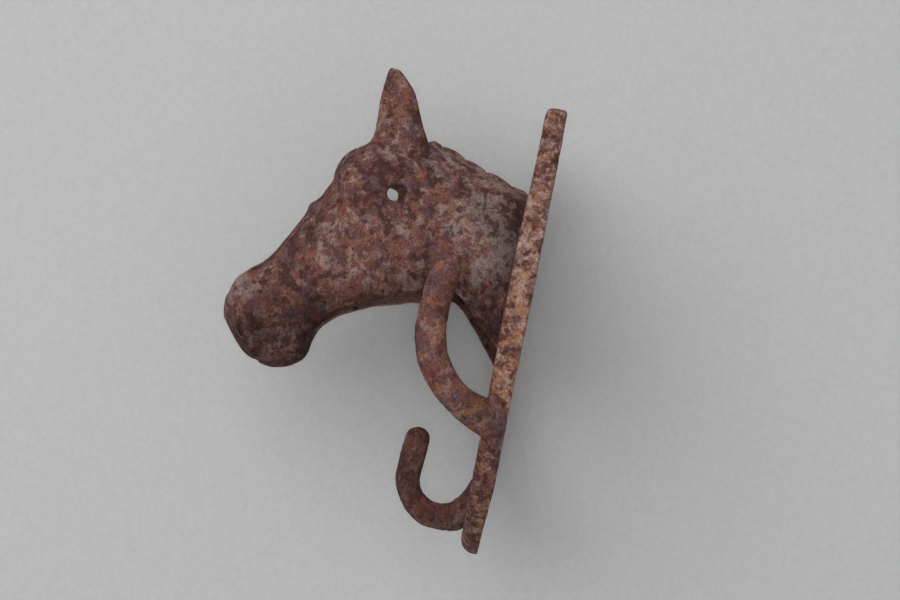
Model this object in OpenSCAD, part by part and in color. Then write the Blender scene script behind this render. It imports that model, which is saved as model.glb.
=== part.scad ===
// Horseshoe tack hook with a hollow horse head.
// A horseshoe is the wall plate. A bridge plate welded across its opening carries the
// hollow head, one rod hook is welded to the outer edge of the left branch, and a
// smaller rod hook is welded to the toe. +Z is up, -Y is forward, +X is the horse's left.
// The back of the horseshoe lies in the plane Y = 0. Heights and forward distances in
// the outlines are counted from the toe's lowest point and from the wall.

/* [Horseshoe] */
// Height from the toe to the heels
shoe_h = 182; // [178:1:186]
// Half of the width over the branches
shoe_half_w = 70; // [68:1:72]
// Thickness of the bar, front to back
shoe_t = 9.5; // [9:0.5:10]
// Width of the bar, seen from the front
web = 25; // [24:0.5:26]
// How far the heels turn inward from the widest part
heel_in = 15; // [10:1:20]
// Radius of the nail holes
nail_r = 2.4; // [2:0.1:2.8]

/* [Head] */
// Thickness of the cast walls
wall = 3; // [2.5:0.1:3.5]
// Fullness of the cross-sections, where 1 is an ellipse
fullness = 0.82; // [0.75:0.01:1]
// Width of the mane strip
mane_w = 6; // [5:0.5:8]
// Number of locks along the mane
locks = 5; // [4:1:6]

/* [Hooks] */
// Radius of the side hook's rod
side_r = 6; // [5.5:0.1:6.4]
// Radius of the toe hook's rod
toe_r = 5; // [4.5:0.1:5.4]
// Sideways place of the side hook's rod
side_x = 71; // [70.5:0.1:72]

/* [Hidden] */
$fn = 48;

// Frame: the origin is on the wall plane, at the middle of the toe's bar.
toe_mid = web / 2;
// Horseshoe outline
widest = 94;
side_dh = shoe_h - toe_mid - widest;
side_arc = (pow(side_dh, 2) + pow(heel_in, 2)) / (2 * heel_in);
heel_angle = asin(side_dh / (side_arc - web / 2));
fuller = [9, 15];
fuller_depth = 2.5;
fuller_angles = [-60, 14];
nail_inset = 12;
nail_heights = [38, 64, 90, 116];
// Bridge plate
bridge = [80, 156];
bridge_back = 1.5;
bridge_front = 7.5;
// Weld beads
bead_r = 2.4;
// How far pieces of one rod run into each other, and how much the bend is thicker
lap = 0.4;
swell = 0.05;

// Head stations from the neck to the muzzle, as [forward, height]: the line of the
// crest and nose, the line of the throat, jaw and chin, and the half width at each.
crest = [[bridge_front, 149.5], [21.8, 154.6], [32.9, 158.3], [44, 162.6], [55.1, 165.6],
    [66.2, 166.4], [77.3, 163.2], [85.2, 155.8], [90, 146], [94.8, 135.2], [99.8, 125],
    [105.6, 113.9], [111.5, 104.2], [117.9, 98.6], [122.6, 93.2], [125.2, 86.6]];
keel = [[bridge_front, 80.5], [20, 91.8], [31.5, 102.2], [40, 101.8], [50, 99], [60, 95.4],
    [69, 92], [78.4, 86.6], [84.6, 80.2], [87.4, 73.4], [90.4, 65.8], [95.6, 61.6],
    [102.4, 60.4], [109, 61.9], [115.2, 65], [124, 75.6]];
half_w = [30, 28, 26.5, 25.5, 25, 26, 26.5, 25, 22.5, 20, 18, 17.2, 18, 19, 17, 8];
// How far each section wraps round, where 180 closes it underneath
wrap = [128, 126, 124, 124, 124, 126, 132, 146, 164, 180, 180, 180, 180, 180, 180, 180];
last = len(crest) - 1;
substeps = 2;
ring = 12;

// The eye is an almond-shaped hole, which sits a little further on in the right half
eye = [62.6, 139.5];
eye_right = [67, 143.2];
eye_half = 4.6;
eye_arc = 5.2;
eye_tilt = 35;

// Side hook: bend centre [forward, height], bend radius and angles
side_bend = [3.2, 87.3];
side_bend_r = 33;
side_start = -68.5;
side_root = 15.3;
side_lean = 4;
side_straight = 19.2;
// Toe hook
toe_bend = [21.8, 27.6];
toe_bend_r = 15;
toe_start = -110;
toe_root = 11;
toe_lean = 5;
toe_straight = 14;
toe_flare_r = 9.4;

// ---- frames -------------------------------------------------------------------

module from_toe() {
    translate([0, 0, -toe_mid]) children();
}

// A drawing of [-forward, height] extruded sideways, centred on x
module slab(x, w) {
    from_toe() translate([x, 0, 0]) rotate([90, 0, 90])
        translate([0, 0, -w / 2]) linear_extrude(w) children();
}

// Puts children, drawn round +Z, at [forward, height] with +Z turned to the given
// angle above the forward direction
module along(place, angle, x) {
    from_toe() translate([x, -place[0], place[1]]) rotate([90 - angle, 0, 0]) children();
}

function side(p) = [-p[0], p[1]];

// ---- horseshoe ----------------------------------------------------------------

// A point on the left branch, inset from the outer edge, at a height above the toe
function rail_x(inset, height) = height < shoe_half_w
    ? sqrt(pow(shoe_half_w - inset, 2) - pow(shoe_half_w - height, 2))
    : height < widest
        ? shoe_half_w - inset
        : shoe_half_w - side_arc + sqrt(pow(side_arc - inset, 2) - pow(height - widest, 2));

// The branch's curve at that inset, from an angle on the toe's arc to one on the side's
function rail(inset, from, to) = let(
        r = shoe_half_w - inset,
        big = side_arc - inset)
    concat([for (a = [from : 6 : -1]) [r * cos(a), shoe_half_w + r * sin(a)]],
        [[r, shoe_half_w]],
        [for (i = [0 : 8]) let(a = to * i / 8)
            [shoe_half_w - side_arc + big * cos(a), widest + big * sin(a)]]);

last_rail = len(rail(0, -90, heel_angle)) - 1;

function reversed(list) = [for (i = [len(list) - 1 : -1 : 0]) list[i]];

function mirrored(list) = [for (p = list) [-p[0], p[1]]];

// A band of the left branch between two insets
module band(near, far, from, to) {
    polygon(concat(rail(near, from, to), reversed(rail(far, from, to))));
}

module front_view(back, front) {
    from_toe() translate([0, -back, 0]) rotate([90, 0, 0])
        linear_extrude(front - back) children();
}

module branch_end() {
    translate(rail(web / 2, -90, heel_angle)[last_rail]) circle(r = web / 2);
}

module shoe_outline() {
    for (m = [0, 1]) mirror([m, 0]) {
        band(0, web, -90, heel_angle);
        branch_end();
    }
}

module shoe_blank() {
    front_view(0, shoe_t) shoe_outline();
}

module horseshoe() {
    color([0.42, 0.22, 0.15]) difference() {
        shoe_blank();
        for (m = [0, 1]) mirror([m, 0, 0]) {
            front_view(shoe_t - fuller_depth, shoe_t + 1)
                band(fuller[0], fuller[1], fuller_angles[0], fuller_angles[1]);
            for (h = nail_heights) from_toe()
                translate([rail_x(nail_inset, h), 1, h]) rotate([90, 0, 0])
                    cylinder(r = nail_r, h = shoe_t + 2);
        }
    }
}

// ---- bridge plate -------------------------------------------------------------

module opening_outline() {
    inner = rail(web, -90, heel_angle);
    polygon(concat(inner, reversed(mirrored(inner))));
}

module bridge_plate() {
    color([0.36, 0.2, 0.15]) front_view(bridge_back, bridge_front) intersection() {
        opening_outline();
        translate([-shoe_half_w, bridge[0]])
            square([2 * shoe_half_w, bridge[1] - bridge[0]]);
    }
}

// ---- head ---------------------------------------------------------------------

// Smooth curve through a list's entries, at i steps and a fraction t
function smooth(list, i, t) = let(
        a = list[max(i - 1, 0)],
        b = list[i],
        c = list[min(i + 1, last)],
        d = list[min(i + 2, last)])
    (2 * b + (c - a) * t + (2 * a - 5 * b + 4 * c - d) * t * t
        + (3 * b - a - 3 * c + d) * t * t * t) / 2;

stations = last * substeps;

function at(list, k) = k == stations
    ? list[last]
    : smooth(list, floor(k / substeps), (k % substeps) / substeps);

function unit(v) = v / norm(v);

// How much of the wall's thickness closes the section underneath, from 0 to 1
function closed(k) = max(0, min(1, (at(wrap, k) - 140) / 40));

// One point of the left half's skin at station k and step j round it, sunk by a depth
function skin(k, j, sunk) = let(
        a = at(crest, k),
        b = at(keel, k),
        down = unit(b - a),
        tip = k == stations ? [sunk, 0] : [0, 0],
        a2 = a + down * sunk - tip,
        b2 = b - down * sunk * closed(k) - tip,
        w = max(at(half_w, k) - sunk, 1.5),
        turn = min(at(wrap, k), 180),
        t = turn * j / ring,
        v = (1 - cos(t)) / (1 - cos(turn)),
        p = a2 + (b2 - a2) * v)
    [t >= 180 ? 0 : w * pow(max(sin(t), 0), fullness), -p[0], p[1]];

rows = ring + 1;
shell_half = (stations + 1) * rows;

function skin_points(sunk) = [for (k = [0 : stations]) for (j = [0 : ring]) skin(k, j, sunk)];

// Two triangles for a four-cornered patch
function patch(a, b, c, d) = [[a, c, b], [a, d, c]];

// The same, split along the other diagonal, which the muzzle's slanted rim needs
function rim(a, b, c, d) = [[a, d, b], [d, c, b]];

// The patches of a skin with this many steps and cells round it, turned out or in
function skin_patches(first, steps, outward, cells = ring) = [for (k = [0 : steps - 1])
    for (j = [0 : cells - 1]) let(row = cells + 1, a = first + k * row + j) each outward
        ? patch(a, a + row, a + row + 1, a + 1)
        : patch(a, a + 1, a + row + 1, a + row)];

// A fan of triangles across one ring
function cap(first, forward, cells = ring) = [for (j = [1 : cells - 1]) forward
    ? [first, first + j + 1, first + j]
    : [first, first + j, first + j + 1]];

// The left half as a shell: an outer and an inner skin and the rims between them
module half_shell() {
    n = shell_half;
    far = stations * rows;
    from_toe() polyhedron(convexity = 6,
        points = concat(skin_points(0), skin_points(wall)),
        faces = concat(
            skin_patches(0, stations, true),
            skin_patches(n, stations, false),
            [for (k = [0 : stations - 1]) let(a = k * rows)
                each rim(a, n + a, n + a + rows, a + rows)],
            [for (k = [0 : stations - 1]) let(a = k * rows + ring)
                each rim(a, a + rows, n + a + rows, n + a)],
            [for (j = [0 : ring - 1]) each patch(j, j + 1, n + j + 1, n + j)],
            cap(far, false),
            cap(n + far, true),
            patch(far, n + far, n + far + ring, far + ring)));
}

// The outside of the head between two stations as a solid, for trimming what sits on it
module head_block(from, to) {
    steps = to - from;
    cells = 2 * ring;
    row = cells + 1;
    from_toe() polyhedron(convexity = 6,
        points = [for (k = [from : to]) for (j = [-ring : ring])
            let(p = skin(k, abs(j), 0)) [j < 0 ? -p[0] : p[0], p[1], p[2]]],
        faces = concat(
            skin_patches(0, steps, true, cells),
            [for (k = [0 : steps - 1]) let(a = k * row)
                each patch(a, a + cells, a + row + cells, a + row)],
            cap(0, true, cells),
            cap(steps * row, false, cells)));
}

module eye_hole(place) {
    r = (pow(eye_half, 2) + pow(eye_arc, 2)) / (2 * eye_arc);
    slab(0, 2 * shoe_half_w) translate(side(place)) rotate(eye_tilt) intersection() {
        translate([0, r - eye_arc / 1.5]) circle(r = r);
        translate([0, eye_arc / 1.5 - r]) circle(r = r);
    }
}

module head_half(eye_place) {
    difference() {
        half_shell();
        eye_hole(eye_place);
        mane_body();
        seam_body();
    }
}

module head_half_left() {
    color([0.45, 0.25, 0.2]) head_half(eye);
}

module head_half_right() {
    color([0.42, 0.23, 0.19]) mirror([1, 0, 0]) head_half(eye_right);
}

// ---- what sits on the head ----------------------------------------------------

seam_w = 3;
seam_out = 0.5;
seam_deep = 2;
seam_nose = 18;
seam_chin = 22;
lock_r = 6.5;
lock_rise = 1.2;
mane_deep = 1.8;
mane_end = 4;

// A place along the crest, from 0 at the neck to 1 at the ears
function crest_at(u) = let(k = u * mane_end, i = min(floor(k), mane_end - 1))
    smooth(crest, i, k - i);

function crest_up(u) = let(d = unit(crest_at(min(u + 0.05, 1)) - crest_at(u - 0.05)))
    [-d[1], d[0]];

// The strip that lies between two heights above the crest line
module crest_band(low, high) {
    us = [for (i = [0 : 12]) 0.06 + 0.92 * i / 12];
    polygon([for (p = concat([for (u = us) crest_at(u) + crest_up(u) * high],
        [for (u = reversed(us)) crest_at(u) + crest_up(u) * low])) side(p)]);
}

module mane_body() {
    slab(0, mane_w) {
        crest_band(-mane_deep, 0.2);
        intersection() {
            crest_band(-mane_deep, lock_r);
            for (i = [0 : locks - 1]) let(u = (i + 0.6) / locks)
                translate(side(crest_at(u) - crest_up(u) * (lock_r - lock_rise)))
                    circle(r = lock_r);
        }
    }
}

module mane_strip() {
    color([0.5, 0.3, 0.22]) mane_body();
}

// A narrow strip along the nose, round the muzzle and under the chin
module seam_body() {
    nose = concat([for (k = [seam_nose + 0.5 : stations]) k], [stations]);
    jaw = reversed(concat([for (k = [seam_chin + 0.5 : stations]) k], [stations]));
    slab(0, seam_w) polygon([for (p = concat(
        [for (k = nose) seam_point(crest, k, -seam_out)],
        [for (k = jaw) seam_point(keel, k, seam_out)],
        [for (k = reversed(jaw)) seam_point(keel, k, -seam_deep)],
        [for (k = reversed(nose)) seam_point(crest, k, seam_deep)])) side(p)]);
}

// A point moved along its section by a distance, and outward or inward at the muzzle
function seam_point(list, k, by) = let(
        down = unit(at(keel, k) - at(crest, k)),
        outside = list == crest ? -by : by)
    at(list, k) + down * by + (k == stations ? [outside, 0] : [0, 0]);

module nose_seam() {
    color([0.4, 0.24, 0.2]) seam_body();
}

module ball(x, p, r) {
    from_toe() translate([x, -p[0], p[1]]) sphere(r = r, $fn = 16);
}

module ear() {
    difference() {
        hull() {
            ball(10, [58.5, 160], 3);
            ball(19, [60, 158], 3);
            ball(10, [74.3, 160], 3);
            ball(19, [74, 157], 3);
            ball(15, [64.4, 178.5], 2.4);
            ball(18, [74.6, 178.5], 2.4);
            ball(17, [69.6, 186.6], 2);
            ball(17.5, [73.2, 189.4], 2);
        }
        head_block(7, 15);
    }
}

module ear_left() {
    color([0.5, 0.28, 0.22]) ear();
}

module ear_right() {
    color([0.48, 0.27, 0.22]) mirror([1, 0, 0]) ear();
}

module forelock() {
    color([0.44, 0.26, 0.22]) difference() {
        hull() {
            for (x = [-4, 4]) ball(x, [81.5, 156.6], 3);
            for (x = [-3.5, 3.5]) ball(x, [86, 152.4], 3);
            ball(0, [89.6, 143.5], 2);
        }
        head_block(11, 17);
    }
}

// ---- hooks --------------------------------------------------------------------

// A rod with a straight root, one bend and a straight end with a round tip
module rod_hook(x, r, centre, bend_r, start, root, lean, straight) {
    up = lean + 90;
    top = centre + bend_r * [cos(lean), sin(lean)];
    foot = centre + bend_r * [cos(start), sin(start)];
    from_toe() translate([x, 0, 0]) rotate([90, 0, 90]) translate(side(centre))
        rotate(180 - lean) rotate_extrude(angle = lean - start)
            translate([bend_r, 0]) circle(r = r + swell);
    along(top, up, x) translate([0, 0, -lap]) cylinder(r = r, h = straight + lap);
    along(top + straight * [cos(up), sin(up)], up, x) sphere(r = r - swell);
    along(foot, start - 90, x) translate([0, 0, -lap]) cylinder(r = r, h = root + lap);
}

module side_rod() {
    rod_hook(side_x, side_r, side_bend, side_bend_r, side_start, side_root, side_lean,
        side_straight);
}

module side_hook() {
    color([0.55, 0.29, 0.17]) difference() {
        side_rod();
        shoe_blank();
        wall_block();
    }
}

side_foot = side_bend + side_bend_r * [cos(side_start), sin(side_start)];

module side_hook_weld() {
    back = side_start - 90;
    color([0.33, 0.24, 0.17]) difference() {
        along(side_foot + (side_root - 1) * [cos(back), sin(back)], back + 180, side_x - 1.5)
            cylinder(r1 = side_r + 2.2, r2 = side_r + 0.4, h = side_root - 4);
        side_rod();
        shoe_blank();
        wall_block();
    }
}

// Everything behind the wall plane
module wall_block() {
    translate([-2 * shoe_half_w, 0, -2 * shoe_half_w]) cube(4 * shoe_half_w);
}

module toe_rod() {
    rod_hook(0, toe_r, toe_bend, toe_bend_r, toe_start, toe_root, toe_lean, toe_straight);
}

toe_foot = toe_bend + toe_bend_r * [cos(toe_start), sin(toe_start)];
toe_out = [-cos(toe_start + 90), -sin(toe_start + 90)];

// Everything behind the horseshoe's front face
module behind_face() {
    translate([-shoe_half_w, -shoe_t, -shoe_half_w]) cube(2 * shoe_half_w);
}

module toe_hook() {
    color([0.5, 0.28, 0.2]) difference() {
        toe_rod();
        behind_face();
    }
}

// The flared collar that blends the rod into the toe
module toe_hook_weld() {
    color([0.35, 0.24, 0.18]) difference() {
        along(toe_foot + toe_out * toe_root, toe_start + 90, 0)
            cylinder(r1 = toe_flare_r, r2 = toe_r + 0.5, h = toe_root - 1);
        toe_rod();
        behind_face();
    }
}

// ---- weld beads ---------------------------------------------------------------

module neck_weld() {
    difference() {
        from_toe() translate([half_w[0] - 0.5, -bridge_front, 86])
            cylinder(r = bead_r, h = 52);
        head_block(0, 3);
        bridge_plate();
    }
}

module bridge_weld() {
    difference() {
        from_toe() translate([shoe_half_w - web - 0.4, -bridge_front, bridge[0] + 3])
            cylinder(r = bead_r, h = 30);
        bridge_plate();
        shoe_blank();
    }
}

module neck_weld_left() {
    color([0.3, 0.2, 0.16]) neck_weld();
}

module neck_weld_right() {
    color([0.3, 0.2, 0.16]) mirror([1, 0, 0]) neck_weld();
}

module bridge_weld_left() {
    color([0.3, 0.2, 0.16]) bridge_weld();
}

module bridge_weld_right() {
    color([0.3, 0.2, 0.16]) mirror([1, 0, 0]) bridge_weld();
}

horseshoe();
bridge_plate();
head_half_left();
head_half_right();
mane_strip();
forelock();
ear_left();
ear_right();
nose_seam();
neck_weld_left();
neck_weld_right();
bridge_weld_left();
bridge_weld_right();
side_hook();
side_hook_weld();
toe_hook();
toe_hook_weld();
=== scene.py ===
import itertools
import math

import bmesh
import bpy
import numpy as np
from mathutils import Matrix, Vector


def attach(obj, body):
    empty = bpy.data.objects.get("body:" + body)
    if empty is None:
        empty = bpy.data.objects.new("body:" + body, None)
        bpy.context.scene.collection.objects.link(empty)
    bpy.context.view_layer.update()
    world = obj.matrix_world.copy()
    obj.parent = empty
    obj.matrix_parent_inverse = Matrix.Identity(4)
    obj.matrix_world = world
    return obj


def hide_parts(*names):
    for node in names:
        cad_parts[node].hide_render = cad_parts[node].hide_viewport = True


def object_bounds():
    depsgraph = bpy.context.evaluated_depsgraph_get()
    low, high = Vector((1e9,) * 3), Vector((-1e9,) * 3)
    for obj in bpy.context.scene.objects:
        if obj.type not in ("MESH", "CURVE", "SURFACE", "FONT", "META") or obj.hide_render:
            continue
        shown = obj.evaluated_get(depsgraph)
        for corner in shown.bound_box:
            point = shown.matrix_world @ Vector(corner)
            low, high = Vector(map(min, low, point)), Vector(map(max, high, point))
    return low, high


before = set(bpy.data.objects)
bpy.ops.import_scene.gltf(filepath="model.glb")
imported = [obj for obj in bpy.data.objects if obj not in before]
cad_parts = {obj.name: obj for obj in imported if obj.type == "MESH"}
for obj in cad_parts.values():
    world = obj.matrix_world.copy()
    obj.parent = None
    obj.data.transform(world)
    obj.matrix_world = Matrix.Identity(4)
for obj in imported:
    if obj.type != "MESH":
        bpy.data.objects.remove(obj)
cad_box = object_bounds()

# Shapes are worked out in millimetres as (x, forward, height), with forward counted from
# the wall and height from the toe's lowest point, the way part.scad counts them.
TOE_MID = 12.5
# The numbers of rows and columns come from a piece's length or girth in mm over it.
FINE = 0.5
SIDES = ((1, "left"), (-1, "right"))


def to_metres(p):
    p = np.asarray(p, float)
    return np.stack([p[..., 0], -p[..., 1], p[..., 2] - TOE_MID], -1) * 0.001


def to_outline(v):
    v = np.asarray(v, float) * 1000
    return np.stack([v[..., 0], -v[..., 1], v[..., 2] + TOE_MID], -1)


# ---- noise ------------------------------------------------------------------------

HASH_AXES = (0x8DA6B343, 0xD8163841, 0xCB1AB31F)
HASH_ROUNDS = ((15, 0x2C1B3C6D), (12, 0x297A2D39))
HASH_SEED = 2654435761
# Brings the noise's usual values to about -1 to 1
NOISE_GAIN = 1.3


def hashed(cell, seed):
    """One 32-bit number for each integer cell."""
    c = cell.astype(np.int64).astype(np.uint32)
    x, y, z = (c[..., i] * np.uint32(HASH_AXES[i]) for i in range(3))
    h = (x ^ y ^ z) + np.uint32(seed * HASH_SEED % 2**32)
    for shift, mul in HASH_ROUNDS:
        h = (h ^ (h >> np.uint32(shift))) * np.uint32(mul)
    return h ^ (h >> np.uint32(15))


def noise(p, size, seed):
    """Smooth gradient noise of the given feature size, about -1 to 1."""
    q = p / size + 0.37 * seed
    base = np.floor(q)
    f = q - base
    w = f * f * f * (f * (f * 6 - 15) + 10)
    total = np.zeros(len(p))
    for corner in itertools.product((0, 1), repeat=3):
        d = np.array(corner, float)
        h = hashed(base + d, seed)
        # Ten bits of the hash for each of the gradient's three parts
        g = np.stack([(h >> np.uint32(k) & np.uint32(1023)) / 511.5 - 1 for k in (0, 10, 20)], -1)
        share = np.prod(np.where(d > 0, w, 1 - w), -1)
        total += share * np.sum(g * (f - d), -1)
    return total * NOISE_GAIN


def fractal(p, size, octaves, seed):
    """Noise of the given size with finer and weaker octaves added."""
    return sum(noise(p, size / 2**k, seed + k) * 0.55**k for k in range(octaves))


def pitted(p, spacing, radius, share, seed):
    """Round pits: 1 at a pit's middle and 0 outside it. A share of the cells has a pit."""
    q = p / spacing
    base = np.floor(q)
    deep = np.zeros(len(p))
    for neighbour in itertools.product((-1, 0, 1), repeat=3):
        cell = base + np.array(neighbour)
        h = hashed(cell, seed)
        # Eight bits of the hash for each part of the pit's place and for its radius
        u = [(h >> np.uint32(k) & np.uint32(255)) / 255 for k in (0, 8, 16, 24)]
        centre = cell + np.stack(u[:3], -1)
        r = radius / spacing * (0.5 + u[3])
        d = np.linalg.norm(q - centre, axis=-1) / r
        here = np.where((h % np.uint32(97)) / 97 < share, np.clip(1 - d * d, 0, 1), 0)
        deep = np.maximum(deep, here * here * (3 - 2 * here))
    return deep


def step(a, b, v):
    """Smooth step from 0 at a to 1 at b, where a may be the larger."""
    t = np.clip((v - a) / (b - a), 0, 1)
    return t * t * (3 - 2 * t)


def quarter_round(distance, radius):
    """Rises from 0 at an edge to 1 at the radius from it, as a quarter of a circle does."""
    left = np.clip(1 - distance / radius, 0, 1)
    return np.sqrt(np.clip(1 - left**2, 0, 1))


def full_turn(count):
    return np.linspace(0, 2 * math.pi, count, endpoint=False)


def smoothed(values):
    """A running mean of five values."""
    return np.convolve(np.pad(values, 2, "edge"), np.ones(5) / 5, "valid")


def unit(v):
    return v / np.linalg.norm(v, axis=-1, keepdims=True)


# ---- meshes -----------------------------------------------------------------------

# Distances in metres at which points are merged and edges count as nothing
MERGE, NOTHING = 1e-7, 1e-8


def placed(name, data):
    """A new object in the scene for a mesh, a light or a camera."""
    o = bpy.data.objects.new(name, data)
    bpy.context.collection.objects.link(o)
    return o


def new_object(name, points, faces):
    mesh = bpy.data.meshes.new(name)
    mesh.from_pydata(to_metres(points).tolist(), [], faces)
    bm = bmesh.new()
    bm.from_mesh(mesh)
    bmesh.ops.remove_doubles(bm, verts=bm.verts, dist=MERGE)
    bmesh.ops.dissolve_degenerate(bm, edges=bm.edges, dist=NOTHING)
    bmesh.ops.recalc_face_normals(bm, faces=bm.faces)
    bm.to_mesh(mesh)
    bm.free()
    return placed(name, mesh)


def grid_faces(rows, cols, ring=False):
    """Quads over a grid of points, closed along its columns if ring is true."""
    wide = cols if ring else cols - 1
    r, c = np.meshgrid(np.arange(rows - 1), np.arange(wide), indexing="ij")
    c2 = (c + 1) % cols
    quads = np.stack([r * cols + c, r * cols + c2, (r + 1) * cols + c2, (r + 1) * cols + c], -1)
    return quads.reshape(-1, 4).tolist()


def tube(name, rings):
    """A closed surface through rings of points, with a fan at each end."""
    rows, cols = rings.shape[:2]
    points = np.concatenate([rings.reshape(-1, 3), rings[:1].mean(1), rings[-1:].mean(1)])
    faces = grid_faces(rows, cols, ring=True)
    first, last = rows * cols, rows * cols + 1
    for c in range(cols):
        faces.append([c, (c + 1) % cols, first])
        faces.append([(rows - 1) * cols + c, (rows - 1) * cols + (c + 1) % cols, last])
    return new_object(name, points, faces)


def baked(o, *modifiers):
    """Adds modifiers given as (type, settings) and applies them to the mesh."""
    for kind, settings in modifiers:
        m = o.modifiers.new(kind.lower(), kind)
        for key, value in settings.items():
            setattr(m, key, value)
    mesh = bpy.data.meshes.new_from_object(
        o.evaluated_get(bpy.context.evaluated_depsgraph_get())
    )
    o.modifiers.clear()
    old = o.data
    o.data = mesh
    bpy.data.meshes.remove(old)
    mesh.name = o.name
    return o


def remesh(size):
    """Settings that rebuild a mesh from voxels of a size in mm."""
    return "REMESH", {"mode": "VOXEL", "voxel_size": size * 0.001}


def soften(times):
    """Settings that smooth a mesh a number of times."""
    return "SMOOTH", {"factor": 0.5, "iterations": times}


def remeshed(name, node, size, times):
    """A fine, softened copy of a CAD node's mesh, for weathering."""
    o = placed(name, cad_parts[node].data.copy())
    o.data.materials.clear()
    return baked(o, ("WELD", {"merge_threshold": 1e-6}), remesh(size), soften(times))


def vertices(o):
    """The points of a mesh in metres."""
    v = np.empty(len(o.data.vertices) * 3, np.float32)
    o.data.vertices.foreach_get("co", v)
    return v.reshape(-1, 3).astype(float)


def normals(o):
    """The directions in which a mesh's points face."""
    n = np.empty(len(o.data.vertices) * 3, np.float32)
    o.data.vertex_normals.foreach_get("vector", n)
    return n.reshape(-1, 3).astype(float)


def set_vertices(o, v):
    o.data.vertices.foreach_set("co", v.astype(np.float32).ravel())
    o.data.update()


def pushed_out(o, height):
    """The points of a mesh, moved along its normals by a height in mm."""
    return vertices(o) + normals(o) * height[:, None] * 0.001


def attribute(o, name, values):
    """Stores a value from 0 to 1 for each point, for the rust material to read."""
    a = o.data.attributes.new(name, "FLOAT", "POINT")
    a.data.foreach_set("value", np.clip(values, 0, 1).astype(np.float32))


# Sizes in mm of cast lumps, rust scale and zones with pits, then pits as (spacing, radius)
LUMP, SMALL_LUMP, SCALE, PIT_ZONE = 10, 4.4, 2.0, 16
WIDE_PIT, TINY_PIT = (4.2, 1.5), (1.9, 0.8)
# Seeds of the wide pits, the tiny pits and the zones, the same on every piece
PIT_SEED, TINY_SEED, ZONE_SEED = 5, 9, 21
# How much of its roughness worn bare metal loses
WORN_SMOOTH = 0.8
# Points nearer to the middle plane than this, in metres, stay on it
ON_MIDDLE = 1e-6
SHARP_EDGE = math.radians(62)


def weather(o, seed, lumps, grain, pits, share=0.5, relief=None, bare=None, deep=0.0):
    """Moves the surface in and out by cast unevenness, scale, corrosion pits and relief."""
    v = vertices(o)
    p = v * 1000
    q = to_outline(v)
    big = fractal(p, LUMP, 1, seed) + 0.75 * fractal(p, SMALL_LUMP, 2, seed + 3)
    small = fractal(p, SCALE, 3, seed + 7)
    wide = pitted(p, *WIDE_PIT, share, PIT_SEED)
    wide = wide * step(-0.5, 0.25, noise(p, PIT_ZONE, ZONE_SEED))
    tiny = pitted(p, *TINY_PIT, share, TINY_SEED)
    clean = bare(q) if bare else np.zeros(len(q))
    rough = 1 - WORN_SMOOTH * clean
    height = lumps * big + (grain * small - pits * wide - 0.45 * pits * tiny) * rough
    if relief:
        height = height + relief(q)
    moved = pushed_out(o, height)
    moved[np.abs(v[:, 0]) < ON_MIDDLE, 0] = 0
    set_vertices(o, moved)
    attribute(o, "pit", 0.9 * wide + 0.6 * tiny - 0.5 * small)
    attribute(o, "bare", clean)
    if deep:
        attribute(o, "deep", np.full(len(q), deep))
    o.data.shade_smooth()
    o.data.set_sharp_from_angle(angle=SHARP_EDGE)


# ---- head -------------------------------------------------------------------------

# Head stations from the neck to the muzzle: the line of the crest and nose and the line of
# the throat, jaw and chin in each half, as [forward, height], the half width, and how far
# the section wraps round in degrees.
CREST = [[7.5, 149.5], [21.8, 154.6], [32.9, 158.3], [44, 162.6], [55.1, 165.6], [66.2, 166.4],
         [77.3, 163.2], [85.2, 155.8], [90, 146], [95, 135.3], [100.2, 125.2], [106, 114.1],
         [111.8, 104.4], [118.2, 98.9], [122.9, 93.6], [125.3, 86.6]]
KEEL_RIGHT = [[8.6, 78.2], [20, 92.4], [31.2, 103.2], [40, 102.6], [50, 99.8], [60, 97],
              [69.4, 93.5], [78.8, 87.9], [84.9, 80.8], [87.6, 73.2], [90.8, 65.4],
              [95.6, 61.5], [102.4, 60.4], [109, 61.9], [115.2, 65], [124, 75.6]]
KEEL_LEFT = [[7.5, 82.4], [19.1, 93.4], [30.6, 104], [40, 103.8], [50, 100.8], [60, 96.6],
             [69, 92.4]] + KEEL_RIGHT[7:]
HALF_W = [30, 28, 26.5, 25.5, 25, 26, 26.5, 25, 22.5, 20, 18, 17.2, 18, 19, 17, 8]
WRAP = [128, 126, 124, 124, 124, 126, 132, 146, 164, 180, 180, 180, 180, 180, 180, 180]
LAST = len(CREST) - 1
# Between these wraps the inner skin's bottom rises from the keel to a wall's thickness over
# it, and at the second one the section is closed underneath
CLOSING, CLOSED = 140, 180
WALL = 3.0
LEAST_HALF_W = 1.5
# Power of the sine that shapes a section, which is fuller than an ellipse below 1
FULLNESS = 0.82
# Mean gap between stations, girth of one half, and how many rows there are for a column
STATION_GAP, GIRTH, ROW_SHARE = 8, 62, 0.55
# Rounding of the open lips, and the angles and heights of the domes that close the muzzle
LIP_STEPS, LIP_BULGE = 5, 0.32
DOME_RINGS = (15, 32, 50, 66, 80)
OUTER_DOME, INNER_DOME = 0.9, 0.4
FORWARD = np.array([0, 1, 0])


def spline(values, k):
    """Catmull-Rom curve through the values at stations k."""
    v = np.asarray(values, float)
    k = np.clip(np.asarray(k, float), 0, LAST)
    i = np.minimum(np.floor(k).astype(int), LAST - 1)
    t = (k - i)[(...,) + (None,) * (v.ndim - 1)]
    a, b, c, d = (v[np.clip(i + n, 0, LAST)] for n in (-1, 0, 1, 2))
    squared, cubed = 2 * a - 5 * b + 4 * c - d, 3 * b - a - 3 * c + d
    return (2 * b + (c - a) * t + squared * t**2 + cubed * t**3) / 2


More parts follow.
